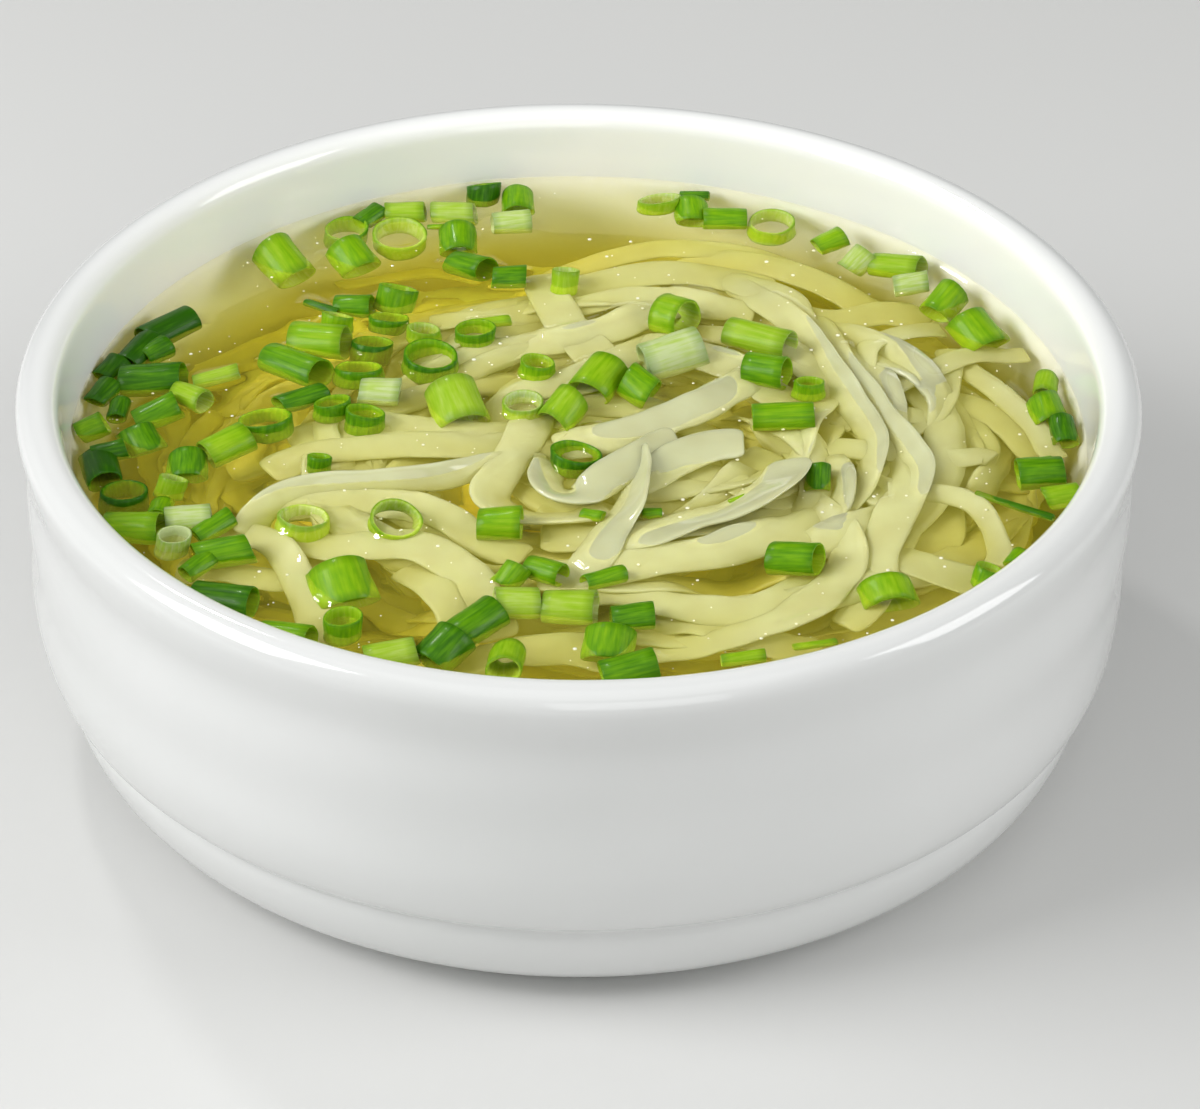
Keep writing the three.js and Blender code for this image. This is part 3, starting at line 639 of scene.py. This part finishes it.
# Smaller pieces: [x, y, way, tilt, diameter, length, tone], as in the solids' own list.
SMALL_PIECES = [
    (-71.0, 22.0, 40, 10, 5.0, 4.8, 0.85), (-77.4, 16.4, 60, 10, 4.6, 5.0, 0.92),
    (-78.0, 9.4, 66, 8, 4.4, 5.6, 0.9), (-75.0, 4.2, 86, 6, 3.4, 4.6, 0.85),
    (-63.6, 8.4, -40, 6, 4.8, 6.2, 0.36), (-60.0, 14.6, 24, 4, 3.2, 7.6, 0.3),
    (-78.6, -1.4, 20, 20, 4.6, 4.4, 0.6), (-75.0, -8.4, 16, 10, 4.2, 5.2, 0.86),
    (-64.4, -18.6, 30, 70, 4.4, 4.2, 0.4), (-65.6, -24.8, 86, -16, 3.6, 5.6, 0.62),
    (-56.6, -29.2, 46, 8, 3.8, 7.0, 0.7), (-62.6, -34.0, 20, 80, 5.2, 4.0, 0.15),
    (-58.2, -39.8, 50, 6, 3.6, 5.4, 0.7), (-43.4, -58.0, -18, 6, 5.2, 7.6, 0.6),
    (-35.2, -55.6, 70, 80, 5.8, 4.2, 0.62), (-27.6, -62.4, 12, 6, 5.2, 7.4, 0.3),
    (-10.6, -64.0, 84, -10, 5.4, 5.6, 0.5), (-37.0, 68.4, 50, 12, 4.2, 5.2, 0.8),
    (-31.0, 69.6, -6, 6, 4.8, 6.8, 0.35), (-17.4, 76.2, 80, 60, 5.8, 4.2, 0.92),
    (-12.2, 66.2, 2, 6, 5.2, 6.4, 0.12), (-12.2, 47.4, 4, 2, 5.0, 5.6, 0.74),
    (-2.6, 45.8, 80, 66, 4.4, 4.8, 0.4), (-43.8, 37.2, -32, 3, 2.0, 6.6, 0.86),
    (-38.4, 37.4, -8, 4, 5.0, 6.0, 0.72), (-41.0, 31.8, 70, 70, 5.6, 3.4, 0.5),
    (-31.4, 39.8, 60, 64, 6.4, 4.6, 0.66), (-45.4, 8.0, 26, 5, 4.4, 7.8, 0.84),
    (-40.2, 5.0, 80, 84, 6.0, 3.4, 0.72), (-32.8, 10.2, -4, 4, 5.8, 6.4, 0.08),
    (-41.4, -11.4, 75, 74, 3.6, 3.2, 0.75), (-26.2, 28.4, 75, 84, 5.4, 2.8, 0.4),
    (-7.0, 18.0, 75, 80, 6.0, 3.0, 0.55), (-9.2, 6.0, 70, 84, 6.4, 2.6, 0.3),
    (37.8, 12.0, 75, 84, 4.8, 3.4, 0.6), (38.0, -14.6, 84, 30, 4.0, 4.8, 0.8),
    (26.6, -19.4, 34, 2, 1.1, 6.8, 0.66), (-28.6, -27.6, -60, 62, 7.8, 2.8, 0.42),
    (-10.2, -42.0, 40, 40, 4.4, 4.0, 0.6), (-5.0, -40.6, -34, 8, 4.8, 6.0, 0.62),
    (4.0, -42.4, 20, 6, 3.4, 6.2, 0.66), (-9.2, -49.2, -2, 4, 6.0, 6.4, 0.28),
    (8.2, -52.6, 4, 8, 5.2, 6.2, 0.75), (24.6, -62.6, 10, 4, 2.6, 6.4, 0.45),
    (35.4, -59.0, 12, 2, 1.4, 6.4, 0.5), (62.6, -41.4, 60, 60, 4.2, 3.4, 0.6),
    (76.6, -19.4, 8, 8, 4.8, 5.6, 0.46), (68.6, -21.8, -32, 2, 1.6, 13.0, 0.86),
    (77.0, 13.4, 80, 8, 4.2, 4.8, 0.42), (78.6, -0.4, -84, -18, 4.2, 5.6, 0.86),
    (43.8, 60.4, 30, 10, 4.6, 5.4, 0.5), (48.4, 53.4, 34, 30, 5.2, 4.8, 0.16),
    (57.0, 46.0, 10, 8, 4.8, 5.8, 0.1), (25.6, 68.2, -5, 4, 5.0, 7.4, 0.62),
    (14.0, 73.4, 75, 84, 7.0, 2.6, 0.36), (20.4, 76.4, -4, 4, 2.4, 5.0, 0.78),
    (2.2, -25.2, -20, 4, 2.4, 3.4, 0.6), (11.4, -24.6, 0, 4, 2.2, 3.0, 0.7),
    (-15.0, 32.6, 10, 2, 2.4, 6.2, 0.4), (-24.6, 65.0, 5, 2, 1.4, 4.6, 0.6),
    (-20.6, 12.8, -10, 2, 1.2, 4.4, 0.7), (67.4, -36.4, 60, 10, 2.6, 3.4, 0.6),
    (73.6, -12.0, 2, 6, 5.4, 3.4, 0.5),
]

RING_SIDES = 26
RING_RADIUS = 5.0
RING_HOLE = 4.0


def ring_master():
    """A short hollow tube, ten millimetres wide and long, that every cut ring is copied from."""
    half = RING_RADIUS
    outside = [(RING_RADIUS, -half + 2 * half * i / 5) for i in range(6)]
    top = [(RING_RADIUS - 0.3, half + 0.25), (RING_HOLE + 0.3, half + 0.25)]
    inside = [(RING_HOLE, half - 2 * half * i / 4) for i in range(5)]
    bottom = [(RING_HOLE + 0.3, -half - 0.25), (RING_RADIUS - 0.3, -half - 0.25), outside[0]]
    ring = turn("ring", outside + top + inside + bottom, RING_SIDES)
    mesh = ring.data
    leaf = mesh.uv_layers.new(name="leaf")
    for face in mesh.polygons:
        turns = [math.atan2(mesh.vertices[v].co.y, mesh.vertices[v].co.x) / math.tau for v in face.vertices]
        for corner, vertex, share in zip(face.loop_indices, face.vertices, turns):
            if max(turns) - min(turns) > 0.5 and share < 0:
                share += 1
            leaf.data[corner].uv = (share, mesh.vertices[vertex].co.z / (2 * half * MM) + 0.5)
    return ring


def put_ring(master, middle, axis, diameter, length, tone, chance, askew=0.25):
    """A copy of the ring at its place: oval, a little flared and cut askew."""
    ring = copy_of(master, "cut_ring")
    wall = max(0.42, 0.068 * diameter)
    lying = max(0, 1 - 1.6 * abs(axis.z))
    oval, slant = chance.uniform(-0.05, 0.1), chance.uniform(-askew, askew)
    flare, start = chance.uniform(-0.05, 0.05), chance.uniform(0, math.tau)
    seed = chance.uniform(0, 90)
    stand = Vector((0, 0, 1)).rotation_difference(axis)
    sides, edges = [], []
    for vertex in ring.data.vertices:
        x, y, z = vertex.co / MM
        angle = math.atan2(y, x)
        side = (math.hypot(x, y) - RING_HOLE) / (RING_RADIUS - RING_HOLE)
        along = z / (2 * RING_RADIUS)
        radius = diameter / 2 - wall * (1 - side)
        radius *= 1 + 2 * flare * along
        radius += 0.16 * noise.noise(Vector((math.cos(angle) * 1.5, math.sin(angle) * 1.5 + seed, along * 2)))
        place = Vector((math.cos(angle + start) * radius * (1 + oval),
                        math.sin(angle + start) * radius * (1 - oval),
                        along * length + slant * radius * math.cos(angle)))
        place = stand @ place
        place.z *= 1 - 0.16 * lying
        vertex.co = (middle + place) * MM
        sides.append(side)
        edges.append(1.0 if abs(along) > 0.47 and side > 0.55 else 0.0)
    for name, values in (("side", sides), ("edge", edges), ("tone", [tone] * len(sides))):
        layer = ring.data.attributes.new(name, "FLOAT", "POINT")
        layer.data.foreach_set("value", values)
    return ring


def lie_of(node):
    """The middle, axis, diameter and length of a ring, read from its solid's faces."""
    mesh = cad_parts[node].data
    pull = Matrix(((0, 0, 0), (0, 0, 0), (0, 0, 0)))
    middle, total = Vector(), 0.0
    for face in mesh.polygons:
        weight = face.area
        middle += face.center * weight
        total += weight
        for i in range(3):
            for j in range(3):
                pull[i][j] += weight * face.normal[i] * face.normal[j]
    middle /= total
    # The axis is the way that the faces' normals point least; it is found by turning a guess
    # again and again through the inverse.
    axis = Vector((0.3, 0.5, 0.8))
    inverse = (pull + Matrix.Identity(3) * 1e-9).inverted()
    for _ in range(30):
        axis = (inverse @ axis).normalized()
    reach = [(v.co - middle).dot(axis) for v in mesh.vertices]
    wide = [((v.co - middle) - axis * (v.co - middle).dot(axis)).length for v in mesh.vertices]
    middle += axis * (max(reach) + min(reach)) / 2
    return middle / MM, axis, 2 * max(wide) / MM, (max(reach) - min(reach)) / MM


def make_rings(chance):
    master = ring_master()
    rings = []
    nodes = sorted(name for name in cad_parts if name.startswith("scallion_"))
    for node, tone in zip(nodes, TONES):
        middle, axis, diameter, length = lie_of(node)
        tone += chance.uniform(-0.05, 0.05)
        rings.append(put_ring(master, middle, axis, diameter, length, tone, chance))
        if tone < 0.12 and diameter > 7:
            # A slice of the white bulb has skin within skin.
            for share, reach in ((0.78, 0.92), (0.54, 0.84), (0.3, 0.76)):
                rings.append(put_ring(master, middle, axis, share * diameter, reach * length,
                                      0.0, chance, 0.7))
    for x, y, way, tilt, diameter, length, tone in SMALL_PIECES:
        pitch, heading = math.radians(tilt), math.radians(way)
        axis = Vector((math.cos(heading) * math.cos(pitch), math.sin(heading) * math.cos(pitch), math.sin(pitch)))
        rings.append(put_ring(master, Vector((x, y, LEVEL)), axis, diameter, length, tone, chance))
    discard(master)
    whole = join("cut_rings", rings)
    smooth(whole)
    return whole, nodes


# ---------------------------------------------------------------- broth

def make_specks(chance):
    """Fine drops of oil on the broth."""
    deselect()
    bpy.ops.mesh.primitive_ico_sphere_add(subdivisions=2, radius=MM)
    master = bpy.context.object
    drops = []
    for _ in range(420):
        angle, reach = chance.uniform(0, math.tau), 79 * math.sqrt(chance.random())
        size = 0.12 + 0.26 * chance.random() ** 3
        drop = copy_of(master, "drop")
        middle = Vector((reach * math.cos(angle), reach * math.sin(angle), LEVEL + 0.02)) * MM
        for vertex in drop.data.vertices:
            vertex.co = vertex.co * size + middle
            vertex.co.z = middle.z + (vertex.co.z - middle.z) * 0.45
        drops.append(drop)
    discard(master)
    specks = join("oil_specks", drops)
    smooth(specks)
    return specks


def make_broth(wetted):
    """The broth, up to its level, creeping up the bowl and up whatever stands out of it."""
    wall = [(radius + 0.35 if radius else 0, height - 0.2) for radius, height in INNER_WALL if height < LEVEL]
    rings = 110
    creep = 1.1
    top = [(WALL_AT_LEVEL + 0.45, LEVEL + 1.0)]
    for i in range(rings + 1):
        radius = WALL_AT_LEVEL * (1 - i / rings) ** 0.92
        top.append((radius, LEVEL + creep * math.exp(-(WALL_AT_LEVEL - radius) / 1.0)))
    broth = turn("clear_broth", wall + top, 360)
    tree = BVHTree.FromPolygons(*wetted)
    for vertex in broth.data.vertices:
        if vertex.co.z > (LEVEL - 0.05) * MM and vertex.co.xy.length < 81 * MM:
            near, _, _, distance = tree.find_nearest(vertex.co, 4 * MM)
            if near is not None and near.z > (LEVEL - 0.35) * MM:
                vertex.co.z += 0.55 * MM * math.exp(-distance / (0.9 * MM))
            vertex.co.z += 0.03 * MM * noise.noise(vertex.co * 45)
    smooth(broth)
    return broth


def faces_of(*pieces):
    """The vertices and faces of several pieces as one list."""
    places, faces = [], []
    for piece in pieces:
        first = len(places)
        places += [v.co.copy() for v in piece.data.vertices]
        faces += [[first + v for v in face.vertices] for face in piece.data.polygons]
    return places, faces


# ---------------------------------------------------------------- the table, the lights, the camera

def set_table():
    deselect()
    bpy.ops.mesh.primitive_plane_add(size=8)
    table = bpy.context.object
    table.name = "table"
    table.data.materials.append(pale_table())


def area_light(name, place, aim, size, power, colour=(1, 1, 1)):
    lamp = bpy.data.lights.new(name, "AREA")
    lamp.shape = "SQUARE"
    lamp.size = size
    lamp.energy = power
    lamp.color = colour
    light = bpy.data.objects.new(name, lamp)
    light.location = place
    light.rotation_euler = (Vector(aim) - Vector(place)).to_track_quat("-Z", "Y").to_euler()
    bpy.context.collection.objects.link(light)


def set_lights():
    area_light("key", (-0.80, -0.22, 0.70), (0, 0, 0.04), 0.6, 8.6)
    area_light("overhead", (0.05, -0.30, 1.15), (0, 0, 0.04), 1.0, 1.6)
    area_light("front", (0.20, -1.0, 0.50), (0, 0, 0.05), 0.6, 1.6)
    area_light("right", (0.86, -0.15, 0.58), (0, 0, 0.05), 0.5, 3.6)
    area_light("spark", (-0.30, 0.45, 0.75), (0, 0, 0.05), 0.08, 1.1)
    world = bpy.data.worlds.new("studio")
    world.use_nodes = True
    tree = world.node_tree
    # The room is dim behind the bowl, where the broth would mirror it towards the camera.
    towards = tree.nodes.new("ShaderNodeTexCoord").outputs["Generated"]
    facing = tree.nodes.new("ShaderNodeVectorMath")
    facing.operation = "DOT_PRODUCT"
    facing.inputs[1].default_value = (0, 0.8, 0.6)
    shade = tree.nodes.new("ShaderNodeMapRange")
    shade.inputs["From Min"].default_value = 0.7
    shade.inputs["From Max"].default_value = 0.92
    shade.inputs["To Min"].default_value = 0.38
    shade.inputs["To Max"].default_value = 0.05
    tree.links.new(towards, facing.inputs[0])
    tree.links.new(facing.outputs["Value"], shade.inputs["Value"])
    tree.nodes["Background"].inputs["Color"].default_value = (0.93, 0.95, 0.93, 1)
    tree.links.new(shade.outputs["Result"], tree.nodes["Background"].inputs["Strength"])
    bpy.context.scene.world = world


def set_camera():
    place, aim = Vector(CAMERA_PLACE) * MM, Vector(CAMERA_AIM) * MM
    lens = bpy.data.cameras.new("camera")
    lens.sensor_fit = "HORIZONTAL"
    lens.sensor_width = 36
    lens.lens = CAMERA_LENS
    camera = bpy.data.objects.new("camera", lens)
    camera.location = place
    facing = (aim - place).to_track_quat("-Z", "Y") @ Quaternion((0, 0, 1), CAMERA_ROLL)
    camera.rotation_euler = facing.to_euler()
    bpy.context.collection.objects.link(camera)
    bpy.context.scene.camera = camera


set_camera()
set_lights()
set_table()
chance = random.Random(7)
make_bowl()
top_noodles = make_noodles()
low_noodles = make_sunk_noodles(chance)
core = make_heap_core()
rings, ring_nodes = make_rings(chance)
specks = make_specks(chance)
broth = make_broth(faces_of(top_noodles, rings))

dough = wheat_noodle()
give(top_noodles, dough, "noodle", "noodles")
give(low_noodles, dough, "noodle", "noodles")
give(core, painted_deep_shade(), "noodle", "noodles")
give(rings, onion_leaf(), "scallion", *ring_nodes)
give(broth, clear_broth(), "broth", "broth")
give(specks, pale_oil(), "broth")

bpy.context.scene.view_settings.view_transform = "Standard"
